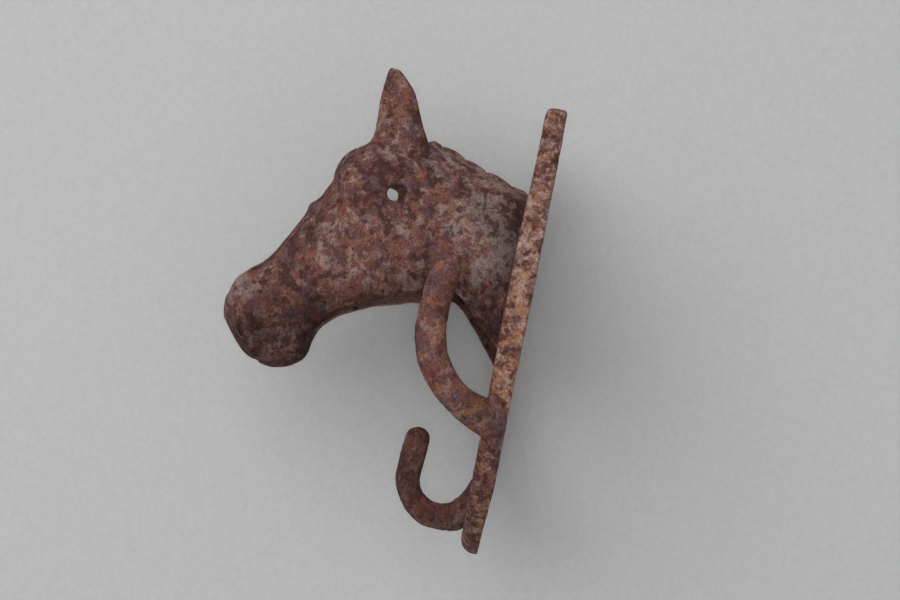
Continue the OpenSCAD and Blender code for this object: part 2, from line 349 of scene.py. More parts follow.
def section(k, share, sunk, keel):
    """Points of one half's skin at stations k and shares of the way round it."""
    a, b = spline(CREST, k), spline(keel, k)
    down = unit(b - a)
    turn = np.minimum(spline(WRAP, k), CLOSED)
    closed = np.clip((turn - CLOSING) / (CLOSED - CLOSING), 0, 1)
    end = step(LAST - 0.6, LAST, k)[:, None] * np.array([sunk, 0])
    a = a + down * sunk - end
    b = b - down * sunk * closed[:, None] - end
    w = np.maximum(spline(HALF_W, k) - sunk, LEAST_HALF_W)
    t = np.radians(turn)[:, None] * share[None, :]
    v = (1 - np.cos(t)) / (1 - np.cos(np.radians(turn)))[:, None]
    p = a[:, None] + (b - a)[:, None] * v[..., None]
    x = w[:, None] * np.maximum(np.sin(t), 0) ** FULLNESS
    x[(turn >= CLOSED)[:, None] & (share > 0.9999)[None, :]] = 0
    return np.concatenate([x[..., None], p], -1)


def lip(outer, inner):
    """Rounds the open edge between the outer and inner skins' last columns."""
    a, b = outer[:, -1], inner[:, -1]
    out = unit(outer[:, -1] - outer[:, -2])
    size = np.linalg.norm(a - b, axis=-1, keepdims=True) * LIP_BULGE
    # Where the section is closed, the skins meet the middle plane and have no lip
    size = size * (a[:, :1] > 0.5)
    turns = [math.pi * (i + 1) / (LIP_STEPS + 1) for i in range(LIP_STEPS)]
    middle, reach = (a + b) / 2, (a - b) / 2
    return np.stack([middle + reach * math.cos(t) + out * size * math.sin(t) for t in turns], 1)


def muzzle_cap(ring, depth):
    """Smaller and smaller copies of the last ring that close the muzzle with a low dome."""
    middle = ring.mean(0) * [0, 1, 1]
    turns = [math.radians(a) for a in DOME_RINGS]
    return np.stack([middle + (ring - middle) * math.cos(t) + FORWARD * depth * math.sin(t)
                     for t in turns])


def half_shell(side):
    """One half of the head as a closed shell with an outer and an inner skin."""
    rows = int(LAST * STATION_GAP / FINE * ROW_SHARE)
    cols = int(GIRTH / FINE)
    k = np.linspace(0, LAST, rows)
    share = np.linspace(0, 1, cols)
    keel = KEEL_LEFT if side > 0 else KEEL_RIGHT
    outer, inner = section(k, share, 0, keel), section(k, share, WALL, keel)
    loop = np.concatenate([outer, lip(outer, inner), inner[:, ::-1]], 1)
    wide = loop.shape[1]
    faces = grid_faces(rows, wide, ring=True)
    points = [loop.reshape(-1, 3)]
    for c in range(wide // 2):
        faces.append([c, c + 1, wide - 2 - c, wide - 1 - c])
    base = rows * wide
    inner_end = inner[-1][::-1]
    for start, ring, depth in ((0, outer[-1], OUTER_DOME), (wide - cols, inner_end, INNER_DOME)):
        cap = muzzle_cap(ring, depth)
        points.append(cap.reshape(-1, 3))
        first = (rows - 1) * wide + start
        for c in range(cols - 1):
            faces.append([first + c, first + c + 1, base + c + 1, base + c])
        faces += (np.array(grid_faces(len(cap), cols)) + base).tolist()
        faces.append(list(range(base + (len(cap) - 1) * cols, base + len(cap) * cols)))
        base += len(cap) * cols
    faces.append(muzzle_rim(rows, wide, cols))
    p = np.concatenate(points)
    p[:, 0] *= side
    return p, faces


def muzzle_rim(rows, wide, cols):
    """The flat face in the plane between the halves, between the two domes."""
    count = len(DOME_RINGS)
    outer_first = (rows - 1) * wide
    inner_first = outer_first + wide - cols
    outer_cap = rows * wide
    inner_cap = outer_cap + count * cols

    def edge(first, cap, shift):
        return [first + shift] + [cap + r * cols + shift for r in range(count)]

    out_near, out_far = (edge(outer_first, outer_cap, s) for s in (0, cols - 1))
    in_near, in_far = (edge(inner_first, inner_cap, s) for s in (0, cols - 1))
    return out_near + out_far[::-1] + in_near + in_far[::-1]


# The two eye holes as [forward, height] and half sizes. The right one sits further on, so
# that ground shows through a corner of the left one at the photo's angle.
EYE, EYE_SIZE = [62.6, 139.5], (4.0, 3.4)
EYE_RIGHT, EYE_RIGHT_SIZE = [69, 142.9], (4.7, 3.9)
EYE_TILT = math.radians(35)
EYE_POINTS = 28
# The cutter's ends, counted from the middle plane
EYE_REACH = (5, 60)


def eye_cutter(side):
    """An oval, tilted prism through one half's wall."""
    place, (wide, tall) = (EYE, EYE_SIZE) if side > 0 else (EYE_RIGHT, EYE_RIGHT_SIZE)
    points, count = [], EYE_POINTS
    for i in range(count):
        a = 2 * math.pi * i / count
        u, v = wide * math.cos(a), tall * math.sin(a)
        forward = place[0] - (u * math.cos(EYE_TILT) - v * math.sin(EYE_TILT))
        height = place[1] + u * math.sin(EYE_TILT) + v * math.cos(EYE_TILT)
        points.append([forward, height])
    p = np.array([[x * side, *q] for x in EYE_REACH for q in points])
    faces = [[i, (i + 1) % count, count + (i + 1) % count, count + i] for i in range(count)]
    faces += [list(range(count)), list(range(2 * count - 1, count - 1, -1))]
    return new_object("eye_cutter", p, faces)


def bump(q, centre, size, tall, power=1.0):
    """A soft round bump at [forward, height], stretched by its two sizes and a tilt."""
    tilt = math.radians(size[2] if len(size) > 2 else 0)
    d = q[:, 1:] - np.array(centre)
    u = (d[:, 0] * math.cos(tilt) + d[:, 1] * math.sin(tilt)) / size[0]
    v = (-d[:, 0] * math.sin(tilt) + d[:, 1] * math.cos(tilt)) / size[1]
    return tall * np.exp(-((u * u + v * v) ** power))


def line_distance(q, points):
    """Distance from [forward, height] to a polyline, and the signed side of it."""
    best, sign = np.full(len(q), 1e9), np.zeros(len(q))
    p = q[:, 1:]
    for a, b in zip(points, points[1:]):
        a, b = np.array(a, float), np.array(b, float)
        ab = b - a
        t = np.clip(((p - a) @ ab) / (ab @ ab), 0, 1)
        d = p - a - t[:, None] * ab
        dist = np.linalg.norm(d, axis=-1)
        cross = ab[0] * (p[:, 1] - a[1]) - ab[1] * (p[:, 0] - a[0])
        near = dist < best
        best, sign = np.where(near, dist, best), np.where(near, np.sign(cross), sign)
    return best, sign


def ridge(dist, width):
    """1 on a line and less away from it."""
    return np.exp(-((dist / width) ** 2))


# Relief on the head's sides, as bumps of (centre, size, height, power)
SIDE_BUMPS = [
    (EYE, (8.5, 6.5, -35), -0.9, 1),  # eye socket
    ([EYE[0] + 1, EYE[1] + 7.5], (9, 3, 8), 0.8, 1),  # ridge over the eye
    ([57, 117], (15, 14), 0.9, 1.6),  # cheek
    ([112.5, 86], (3.2, 2.2, 60), -1.1, 1),  # nostril
    ([114.5, 89], (6, 5), 0.6, 1),  # rise over the nostril
]
# Relief that reaches the middle plane and so changes the outline
OUTLINE_BUMPS = [
    ([81, 160.5], (4, 4), -0.8),  # dip over the brow
    ([92.5, 140.5], (4, 3, -60), -0.6),  # dip below it
    ([95.6, 135.2], (2.4, 3, -60), -0.5),
    ([98.9, 130.3], (2.2, 2.8, -60), 1.6),  # knob on the nose
    ([113.7, 64.5], (5, 4.5), -0.6),  # front of the chin
    ([89, 68], (4, 5), 1.3),  # back of the chin
]
# Lines of the relief as [forward, height]
JOWL = [[49.5, 141], [46, 138], [40.5, 126], [38.5, 114], [43.5, 108], [47, 98]]
BROW = [[77, 155], [66, 151.5], [57, 149.5], [47, 147.5]]
MOUTH = [[108.8, 58], [108, 64], [104.4, 68.5], [100, 70]]
# No relief goes further in than this, so that the wall stays whole
DEEPEST = -1.9


def head_relief(q):
    """Eye socket, cheek, jaw, nostril and mouth, as height over the plain loft."""
    h = sum(bump(q, *b) for b in SIDE_BUMPS)
    dist, side = line_distance(q, JOWL)
    h += 0.55 * ridge(dist, 2.6) - 0.5 * ridge(dist - 3.5, 3) * (side > 0)
    h += 0.5 * ridge(line_distance(q, BROW)[0], 2.4)
    h *= step(6, 12, np.abs(q[:, 0]))
    h += sum(bump(q, *b) for b in OUTLINE_BUMPS)
    h -= 1.8 * ridge(line_distance(q, MOUTH)[0], 1.1) * step(74, 68, q[:, 2])
    return np.maximum(h, DEEPEST)


# The middle line of the hollow, as [forward, height]
AXIS = [[8, 116], [60, 128], [90, 100], [105, 80], [113, 80]]


def outer_skin(o, q):
    """1 where the surface faces away from the middle of the hollow, 0 on the inner skin."""
    points = np.array(AXIS, float)
    k = np.linspace(0, len(AXIS) - 1, 40)
    axis = np.stack([np.interp(k, range(len(AXIS)), points[:, i]) for i in (0, 1)], -1)
    nearest = np.argmin(((q[:, None, 1:] - axis[None]) ** 2).sum(-1), axis=1)
    away = q[:, 1:] - axis[nearest]
    n = normals(o)
    return step(-0.5, 0.5, q[:, 0] * n[:, 0] - away[:, 0] * n[:, 1] + away[:, 1] * n[:, 2])


def head_painted_shade(q):
    """Painted shade low on the muzzle, along the jaw's lower edge and at the neck's root beside
    the plate.
    """
    edge, _ = line_distance(q, KEEL_LEFT[1:10])
    muzzle = step(78, 92, q[:, 1]) * step(104, 78, q[:, 2] + 0.25 * (q[:, 1] - 96))
    neck = step(25, 8, q[:, 1])
    return np.clip(0.8 * muzzle + 0.65 * step(14, 2, edge) + 0.75 * neck, 0, 0.85)


def head_pale(q):
    """Paler film on the brow, the top of the head and the neck."""
    top = step(128, 156, q[:, 2] - 0.12 * q[:, 1])
    neck = step(50, 30, q[:, 1]) * step(112, 128, q[:, 2])
    return 0.9 * top + 0.6 * neck


# Worn places as (centre, size and tilt): the neck's top, root and front, the muzzle's tip,
# and low on the neck
PATCHES = [([27, 139], (11, 8, 60)), ([14.5, 124], (7, 20, -4)), ([38, 128.5], (7, 2.6, 10)),
           ([117, 91], (3.8, 8, -30)), ([24, 112], (4, 8, 0))]


def head_bare(q):
    """Where rust has worn off to bare grey metal."""
    edge = fractal(q, 5, 3, 31)
    total = sum(bump(q, c, s, 1.0) for c, s in PATCHES)
    return step(0.1, 1.15, total + edge * 0.35) * step(3, 10, np.abs(q[:, 0]))


def head():
    for side, name in SIDES:
        cutter = eye_cutter(side)
        o = new_object("head_" + name, *half_shell(side))
        baked(o, ("BOOLEAN", {"object": cutter, "operation": "DIFFERENCE", "solver": "EXACT"}))
        bpy.data.objects.remove(cutter)
        inside = step(0, -0.4, normals(o)[:, 0] * side)
        outer = outer_skin(o, to_outline(vertices(o)))
        weather(o, 3, lumps=0.26, grain=0.09, pits=0.24, share=0.55,
                relief=lambda q, outer=outer: head_relief(q) * outer, bare=head_bare)
        q = to_outline(vertices(o))
        # The deep attribute is painted shade, on the outer skin and on the inner walls near the
        # neck
        neck = step(48, 34, q[:, 1])
        attribute(o, "deep", head_painted_shade(q) * (1 - inside) + 0.55 * inside * neck)
        attribute(o, "pale", head_pale(q))
        # Painted light on the inner walls: less of it near the neck, and the wall seen through
        # the near eye hole gets more than the rest of the hollow
        attribute(o, "inside", inside * (0.5 - 0.4 * neck + bump(q, EYE_RIGHT, (10, 10), 0.5)))
        finish_piece(o, "head_iron", "head_half_" + name)


def ribbon(name, line, width, height, sink, across=22):
    """A low band of curved section that lies on the skin along a line of points."""
    out = outward(line)
    a = np.linspace(-1, 1, across)
    top = height[:, None] * np.sqrt(np.clip(1 - a[None, :] ** 2, 0, 1)) ** 1.2
    p = np.zeros((len(line), across, 3))
    p[..., 0] = width[:, None] * a[None, :]
    skin_drop = 0.5 * (p[..., 0] / 9.0) ** 2
    p[..., 1:] = line[:, None] + out[:, None] * (top - skin_drop)[..., None]
    low = p.copy()
    low[..., 1:] -= out[:, None] * (sink + top)[..., None]
    low[..., 0] *= 0.9
    return tube(name, np.concatenate([p, low[:, ::-1]], 1))


def outward(line):
    """Directions across a line of [forward, height], to its left, which is off the head."""
    d = unit(np.gradient(line, axis=0))
    return np.stack([-d[:, 1], d[:, 0]], -1)


# Number of scallops along the mane
LOCKS = 4.4


def mane():
    u = np.linspace(0.03, 0.99, int(70 / FINE * 1.2))
    phase = (u * LOCKS + 0.25) % 1
    height = 0.3 + 1.75 * np.sqrt(np.clip(1 - ((phase - 0.55) / 0.58) ** 2, 0, 1))
    height *= np.minimum(1, np.minimum(u - 0.02, 1.01 - u) / 0.06)
    width = 3.4 + 0.5 * np.sin(phase * math.pi)
    o = ribbon("mane", spline(CREST, 4 * u), width, height, 1.6)
    weather(o, 4, lumps=0.12, grain=0.08, pits=0.2)
    finish_piece(o, "head_iron", "mane_strip")


def forelock():
    u = np.linspace(0, 1, int(24 / FINE * 1.2))
    height = 2.3 * np.sin(math.pi * np.clip(u, 0.01, 0.99)) ** 0.6
    width = 6.2 - 3.2 * u**1.5
    o = ribbon("forelock", spline(CREST, 6.85 + 1.4 * u), width, height, 1.8, 34)
    x = to_outline(vertices(o))[:, 0]
    # Grooves between the tuft's strands
    set_vertices(o, pushed_out(o, 0.3 * (np.cos(x / 3.1 * math.pi) - 1) * 0.5))
    weather(o, 5, lumps=0.12, grain=0.08, pits=0.2)
    finish_piece(o, "head_iron", "forelock")


# Points of the seam round the front of the muzzle, between the nose's line and the chin's
SEAM_FRONT = [[126.45, 84.5], [126.5, 81.8], [125.9, 79]]
SEAM_HEIGHT, SEAM_HALF_W = 0.32, 1.5
# Share of the relief that the seam follows where it goes in
SEAM_SINK = 0.45


def nose_seam():
    top = spline(CREST, np.linspace(9.3, LAST, int(50 / FINE)))
    low = spline(KEEL_LEFT, np.linspace(LAST, 11.4, int(30 / FINE)))
    line = np.concatenate([top, np.array(SEAM_FRONT), low])
    line = np.stack([smoothed(line[:, i]) for i in (0, 1)], -1)
    n = len(line)
    skin = head_relief(np.column_stack([np.zeros(n), line]))
    line += outward(line) * np.where(skin < 0, SEAM_SINK * skin, skin)[:, None]
    ends = np.minimum(1, np.minimum(np.arange(n) + 0.3, n - 0.7 - np.arange(n)) / 6)
    o = ribbon("nose_seam", line, np.full(n, SEAM_HALF_W), SEAM_HEIGHT * ends, 1.2, 12)
    weather(o, 6, lumps=0.06, grain=0.05, pits=0.1)
    finish_piece(o, "head_iron", "nose_seam")


# The ear from its root to its tip: heights, then the back edge, the front edge, how far it
# stands from the middle plane, and half its thickness at each height
EAR_T = [151, 156, 159.2, 163.3, 169.2, 175.1, 181.3, 185.3, 188.2, 190.2, 190.9]
EAR_BACK = [45, 50.2, 52.2, 54, 57.4, 60, 62.7, 65.6, 68.6, 70.7, 71]
EAR_FRONT = [84, 80.6, 78.2, 76.9, 77, 77.4, 77, 76.6, 76.4, 76, 75.6]
EAR_X = [12, 12.5, 13.2, 14, 15, 15.8, 16.4, 16.9, 17.1, 17.2, 17.3]
EAR_THICK = [5.5, 5.4, 5.1, 4.9, 4.5, 4, 3.5, 3.1, 2.7, 2.2, 1.5]
# Depth of the ear's dish, and where its middle lies round the section and how wide it is
DISH, DISH_AT, DISH_WIDTH = 1.5, math.radians(74), 0.42


def ear(side, name):
    """A pointed leaf with a dished outer face, that flares into the head at its root."""
    t = np.linspace(EAR_T[0], EAR_T[-1], int(42 / FINE))
    tables = (EAR_BACK, EAR_FRONT, EAR_X, EAR_THICK)
    back, front, x, thick = (smoothed(np.interp(t, EAR_T, c)) for c in tables)
    a = full_turn(int(48 / FINE))
    mid, half = (back + front) / 2, (front - back) / 2
    forward = mid[:, None] + half[:, None] * np.sign(np.cos(a)) * np.abs(np.cos(a)) ** 0.9
    out = thick[:, None] * np.sign(np.sin(a)) * np.abs(np.sin(a)) ** 0.85
    hollow = step(160, 167, t) * step(188, 181, t) * DISH
    out = out - hollow[:, None] * ridge(a - DISH_AT, DISH_WIDTH)[None, :]
    p = np.stack([x[:, None] + out, forward, np.repeat(t[:, None], len(a), 1)], -1)
    p[..., 0] *= side
    o = baked(tube("ear_" + name, p), soften(3))
    weather(o, 8, lumps=0.22, grain=0.09, pits=0.3)
    finish_piece(o, "head_iron", "ear_" + name)


# ---- hooks ------------------------------------------------------------------------

# Bend centre [forward, height], bend radius, angle at which the bend starts, straight root,
# lean of the tip in degrees, and straight tip
SIDE_PATH = ([3.2, 87.3], 33, -68.5, 13.5, 4, 19.2)
TOE_PATH = ([21.5, 27.7], 15, -110, 8.5, 4, 13.6)
SIDE_ROD, TOE_ROD = 5.9, 5.05
# Distance of the side hook from the middle plane
SIDE_X = 71
TIP_RINGS = (12, 26, 40, 54, 68, 80)


def rod_path(centre, bend_r, start, root, lean, straight):
    """Points and directions in [forward, height] from the root to the tip."""
    c = np.array(centre, float)
    a0, a1 = math.radians(start), math.radians(lean)
    foot = c + bend_r * np.array([math.cos(a0), math.sin(a0)])
    d0 = np.array([-math.sin(a0), math.cos(a0)])
    d1 = np.array([-math.sin(a1), math.cos(a1)])
    top = c + bend_r * np.array([math.cos(a1), math.sin(a1)])
    parts = [foot - d0 * s for s in np.arange(root, 0, -FINE)]
    count = max(2, int(bend_r * (a1 - a0) / FINE))
    turns = np.linspace(a0, a1, count)
    parts += [c + bend_r * np.array([math.cos(a), math.sin(a)]) for a in turns]
    parts += [top + d1 * s for s in np.arange(FINE, straight + 1e-6, FINE)]
    line = np.array(parts)
    return line, unit(np.gradient(line, axis=0))


def rod(name, x, r, path, swell, tip_round, around):
    """A rod along a path with a round tip, whose place and radius change along it."""
    line, d = path
    side = np.stack([d[:, 1], -d[:, 0]], -1)
    a = full_turn(around)
    radius = r + swell
    end = [math.radians(v) for v in TIP_RINGS]
    x = np.broadcast_to(x, len(line)).astype(float)
    x = np.concatenate([x, np.full(len(end), x[-1])])
    rows_line = [line] + [line[-1:] + d[-1] * r * tip_round * math.sin(v) for v in end]
    rows_side = [side] + [side[-1:]] * len(end)
    rows_r = [radius] + [radius[-1:] * math.cos(v) for v in end]
    line, side, radius = (np.concatenate(c) for c in (rows_line, rows_side, rows_r))
    p = np.zeros((len(line), around, 3))
    p[..., 0] = x[:, None] + radius[:, None] * np.cos(a)
    p[..., 1:] = line[:, None] + side[:, None] * (radius[:, None] * np.sin(a))[..., None]
    return tube(name, p)


def along_path(line):
    """Distance from the root to each point of a path."""
    steps = np.linalg.norm(np.diff(line, axis=0), axis=-1)
    return np.concatenate([[0], np.cumsum(steps)])


def side_hook():
    path = rod_path(*SIDE_PATH)
    far = along_path(path[0])
    swell = 0.12 * np.sin(far / 6 + 1) + 0.9 * step(22, 8, far)
    swell -= 3.4 * (1 - quarter_round(far, 4.5))
    x = SIDE_X - 4.4 * step(20, 1, far)
    o = rod("side_hook", x, SIDE_ROD, path, swell, 0.9, int(40 / FINE))
    weather(o, 11, lumps=0.26, grain=0.09, pits=0.24, share=0.45, bare=rod_bare)
    # Painted shade low on the rod, towards its root at the plate
    attribute(o, "deep", 0.3 * step(84, 60, to_outline(vertices(o))[:, 2]))
    finish_piece(o, "rod_iron", "side_hook")


def rod_bare(q):
    """Scattered patches where handling has worn the rod's rust thin."""
    return 0.4 * step(0.35, 0.9, fractal(q, 10, 3, 77))


def toe_hook():
    path = rod_path(*TOE_PATH)
    far = along_path(path[0])
    swell = 0.1 * np.sin(far / 5) + 0.3 * step(38, 50, far)
    o = rod("toe_hook", 0, TOE_ROD, path, swell, 1.0, int(34 / FINE))
    q = to_outline(vertices(o))
    # The bend is thicker underneath, and has a flat struck into its front
    low = bump(q, [28, 10], (6, 5, 30), 0.8) + bump(q, [17, 8], (6, 4.5), 0.8)
    hit = bump(q, [31.5, 13], (3.2, 2.2, 45), -0.5)
    set_vertices(o, pushed_out(o, low + hit))
    # deep darkens the whole hook: partly a darker rust tone, partly painted shade under the jaw
    weather(o, 12, lumps=0.26, grain=0.1, pits=0.28, share=0.55, deep=0.65)
    finish_piece(o, "rod_iron", "toe_hook")


# ---- plate and welds --------------------------------------------------------------

# Outline of the shoe: toe radius and half width, height where its heels start to turn in,
# whole height, how far they turn in, and the bar's thickness
SHOE_R, WIDEST, SHOE_H, HEEL_IN, BAR = 70, 94, 182, 15, 9.5
RISE = SHOE_H - TOE_MID - WIDEST
SIDE_ARC = (RISE**2 + HEEL_IN**2) / (2 * HEEL_IN)
# What is left of the bar's thickness at the toe's front edge, and the rounding's width
TOE_EDGE, TOE_ROUND = 3.2, 5
# The same at the heels' tips, where the rounding starts from a thinner bar, and from which
# height it counts
HEEL_EDGE, HEEL_RISE, HEEL_ROUND, HEEL_FROM = 4, 5, 6, 172
# How much thinner the heels are, and how far the back is off the wall low down and at the toe
HEEL_THINNER, BACK_GAP, TOE_GAP = 0.11, 0.6, 1.4
# Voxels of the plates, as shares of the mesh spacing
COARSE_VOXEL, SHOE_VOXEL = 1.3, 1.18


def inset(q):
    """How far a point lies inside the horseshoe's outer edge."""
    x, t = np.abs(q[:, 0]), q[:, 2]
    toe = SHOE_R - np.hypot(x, t - SHOE_R)
    side = SHOE_R - x
    heel = SIDE_ARC - np.hypot(x - SHOE_R + SIDE_ARC, t - WIDEST)
    return np.where(t < SHOE_R, toe, np.where(t < WIDEST, side, heel))


def shoe_shape(o):
    """Rolls the toe's front edge, rounds and thins the heels and lifts the lower back."""
    q = to_outline(vertices(o))
    toe = step(24, 6, q[:, 2])
    rolled = TOE_EDGE + (BAR - TOE_EDGE) * quarter_round(np.clip(inset(q), 0, 99), TOE_ROUND)
    low = np.minimum(q[:, 1], rolled)
    q[:, 1] = q[:, 1] * (1 - toe) + low * toe
    back = BACK_GAP * step(108, 62, q[:, 2]) + TOE_GAP * step(30, 4, q[:, 2])
    q[:, 1] = np.maximum(q[:, 1], back)
    q[:, 1] *= 1 - HEEL_THINNER * step(120, 165, q[:, 2])
    top = np.clip(SHOE_H - q[:, 2], 0, 99)
    heel = HEEL_EDGE + HEEL_RISE * quarter_round(top, HEEL_ROUND)
    q[:, 1] = np.where(q[:, 2] > HEEL_FROM, np.minimum(q[:, 1], heel), q[:, 1])
    set_vertices(o, to_metres(q))


def shoe_bare(q):
    """Scattered patches where the plate's rust is thin."""
    return 0.55 * step(0.3, 0.75, fractal(q, 11, 3, 55))


def horseshoe():
    o = remeshed("horseshoe_plate", "horseshoe", FINE * COARSE_VOXEL, 2)
    shoe_shape(o)
    baked(o, remesh(FINE * SHOE_VOXEL), soften(4))
    weather(o, 21, lumps=0.2, grain=0.11, pits=0.3, share=0.6, bare=shoe_bare)
    t = to_outline(vertices(o))[:, 2]
    # Painted light: the middle of the plate, where it faced the light, gets more orange
    attribute(o, "painted_light", step(52, 74, t) * step(122, 96, t))
    attribute(o, "pale", 0.6 * step(90, 125, t))
    # Painted shade on the plate's lower end
    attribute(o, "deep", 0.35 * step(56, 34, t))
    finish_piece(o, "shoe_iron", "horseshoe")


def bridge():
    o = remeshed("bridge", "bridge_plate", FINE * COARSE_VOXEL, 3)
    weather(o, 22, lumps=0.2, grain=0.1, pits=0.3)
    finish_piece(o, "shoe_iron", "bridge_plate")


BEAD_R, RIPPLE = 2.3, 1.9
# Straight beads as (name, x, forward, lower end, upper end, seed)
BEADS = (("neck", 29.6, 7.9, 86, 138, 31), ("bridge", 44.7, 7.7, 83, 113, 33))


def bead(name, node, start, end, seed):
    """A hand-laid weld bead with overlapping ripples, between two points."""
    a, b = np.array(start, float), np.array(end, float)
    length = np.linalg.norm(b - a)
    u = np.linspace(0, 1, int(length / FINE * 1.4))
    d = (b - a) / length
    side = unit(np.cross(d, [0, 1, 0]))
    up = np.cross(side, d)
    ripple = (u * length / RIPPLE) % 1
    wobble = noise(np.stack([u * length, u * 0, u * 0], -1) + seed, 7, seed)
    radius = BEAD_R * (0.9 + 0.16 * np.sqrt(ripple) + 0.1 * wobble)
    radius *= np.sqrt(np.clip(np.minimum(u, 1 - u) / 0.06, 0.02, 1))
    turn = full_turn(30)[:, None]
    ring = side * np.cos(turn) + up * np.sin(turn) + d * 0.25 * np.abs(np.cos(turn))
    centre = a + (b - a) * u[:, None]
    o = tube(name, centre[:, None] + radius[:, None, None] * ring)
    weather(o, seed, lumps=0.2, grain=0.1, pits=0.15)
    finish_piece(o, "weld", node)


# Middle, half sizes and lean of the mound of weld metal at the side hook's root
SIDE_MOUND = ([69.2, 5.4, 54], [4.6, 4.7, 10.5], 12)
# Rings of the toe hook's weld as [forward, bottom, top, half width]
TOE_FILLET = [[8.4, 10.2, 31.2, 8.6], [9.5, 9.6, 30.8, 8.4], [10.5, 8.8, 29, 7.6],
              [11.5, 8.2, 26.8, 7], [12.7, 7.7, 24.4, 6.5], [14.1, 7.3, 22.2, 6.1],
              [15.6, 7.2, 20.4, 5.6], [17.2, 7.5, 18.9, 5], [19, 8.6, 17.3, 3.6]]
COLLAR_POINTS = 72


def side_hook_collar():
    """A low mound of weld metal that runs the rod's root into the branch's edge."""
    centre, size, lean = SIDE_MOUND
    turn = math.radians(lean)
    v = np.linspace(0.02, math.pi - 0.02, 48)
    a = full_turn(COLLAR_POINTS)
    x = np.sin(v)[:, None] * np.cos(a) * size[0]
    forward = np.sin(v)[:, None] * np.sin(a) * size[1]
    height = np.repeat(np.cos(v)[:, None], COLLAR_POINTS, 1) * size[2]
    p = np.stack([x, forward * math.cos(turn) + height * math.sin(turn),
                  height * math.cos(turn) - forward * math.sin(turn)], -1) + np.array(centre)
    p[..., 1] = np.clip(p[..., 1], 0.6, None)
    o = tube("side_hook_collar", p)
    weather(o, 35, lumps=0.35, grain=0.12, pits=0.22)
    finish_piece(o, "weld", "side_hook_weld")


def toe_hook_collar():
    """Weld metal that fills the corner over the toe hook's root with a hollow curve."""
    shape = np.array(TOE_FILLET, float)
    u = np.linspace(0, len(shape) - 1, 40)
    forward, low, high, half = (np.interp(u, range(len(shape)), shape[:, i]) for i in range(4))
    a = full_turn(COLLAR_POINTS)
    mid, tall = (low + high) / 2, (high - low) / 2
    p = np.stack([half[:, None] * np.cos(a), np.repeat(forward[:, None], COLLAR_POINTS, 1),
                  mid[:, None] + tall[:, None] * np.sin(a)], -1)
    o = baked(tube("toe_hook_collar", p), soften(3))
    # deep darkens the whole weld: partly a darker rust tone, partly painted shade under the jaw
    weather(o, 36, lumps=0.3, grain=0.12, pits=0.24, deep=0.3)
    finish_piece(o, "weld", "toe_hook_weld")


def welds():
    for side, name in SIDES:
        for kind, x, forward, low, high, seed in BEADS:
            bead(f"{kind}_bead_{name}", f"{kind}_weld_{name}",
                 [side * x, forward, low], [side * x, forward, high], seed)
    side_hook_collar()
    toe_hook_collar()


# ---- materials --------------------------------------------------------------------


class Nodes:
    """Small helper for building a node tree from left to right."""

    def __init__(self, name):
        self.material = bpy.data.materials.new(name)
        self.material.use_nodes = True
        self.tree = self.material.node_tree
        self.tree.nodes.clear()
        self.coords = self.add("ShaderNodeTexCoord").outputs["Object"]

    def add(self, kind, **settings):
        n = self.tree.nodes.new(kind)
        for key, value in settings.items():
            setattr(n, key, value)
        return n

    def put(self, socket, value):
        if isinstance(value, bpy.types.NodeSocket):
            self.tree.links.new(value, socket)
        else:
            socket.default_value = value

    def noise(self, size_mm, detail, rough, distortion=0.0, shift=0.0):
        """Noise of a size. The shift keeps one layer's pattern apart from another's."""
        move = self.add("ShaderNodeVectorMath", operation="ADD")
        self.put(move.inputs[0], self.coords)
        self.put(move.inputs[1], (shift, shift * 1.7, -shift))
        n = self.add("ShaderNodeTexNoise")
        self.put(n.inputs["Vector"], move.outputs[0])
        self.put(n.inputs["Scale"], 1000 / size_mm)
        self.put(n.inputs["Detail"], detail)
        self.put(n.inputs["Roughness"], rough)
        self.put(n.inputs["Distortion"], distortion)
        return n.outputs["Fac"]

    def attribute(self, name):
        return self.add("ShaderNodeAttribute", attribute_name=name).outputs["Fac"]

    def between(self, value, low, high, reach=1.0):
        """Rises smoothly from 0 to reach as the value goes from low to high."""
        n = self.add("ShaderNodeMapRange", interpolation_type="SMOOTHSTEP")
        self.put(n.inputs["Value"], value)
        ends = (("From Min", low), ("From Max", high), ("To Min", 0.0), ("To Max", reach))
        for key, v in ends:
            self.put(n.inputs[key], v)
        return n.outputs["Result"]

    def math(self, operation, a, b):
        n = self.add("ShaderNodeMath", operation=operation)
        self.put(n.inputs[0], a)
        self.put(n.inputs[1], b)
        return n.outputs[0]

    def mix(self, share, a, b, blend="MIX"):
        n = self.add("ShaderNodeMix", data_type="RGBA", blend_type=blend)
        self.put(n.inputs["Factor"], share)
        self.put(n.inputs["A"], a if isinstance(a, bpy.types.NodeSocket) else (*a, 1))
        self.put(n.inputs["B"], b if isinstance(b, bpy.types.NodeSocket) else (*b, 1))
        return n.outputs["Result"]


# Values of its noise or attribute between which each layer comes in: rust, painted glints and
# painted shade
FADE = {
    "red": (0.4, 0.6), "purple": (0.47, 0.62), "orange": (0.48, 0.66), "film": (0.48, 0.68),
    "bare": (0.15, 0.9), "spot": (0.5, 0.37), "pit": (0.2, 0.85), "grain": (0.36, 0.64),
    "glint": (0.71, 0.77), "deep": (0.0, 1.0),
}
# How far the painted light attribute raises the orange on the plate's lit middle, and the pale
# attribute the film
PAINTED_LIGHT_LIFT, PALE_LIFT = 0.09, 0.075
BARE_SHARE, PIT_SHARE, GLINT_SHARE = 0.65, 0.8, 0.5
# Colours of the painted light inside the hollow and of the painted glints, what multiplies the
# painted shade, and what multiplies the grain
INSIDE_PAINTED_LIGHT, GLINT, SHADE_TINT = (0.34, 0.2, 0.155), (0.4, 0.34, 0.31), (0.42, 0.38, 0.41)
GRAIN_DARK, GRAIN_LIGHT = (0.2, 0.2, 0.2), (1.9, 1.85, 1.8)
# Roughness, how much smoother bare metal is, gloss, and strength and depth of the bump
ROUGHNESS, BARE_GLOSS, SPECULAR = 0.84, 0.24, 0.16
BUMP_STRENGTH, BUMP_DEPTH = 0.8, 0.00025


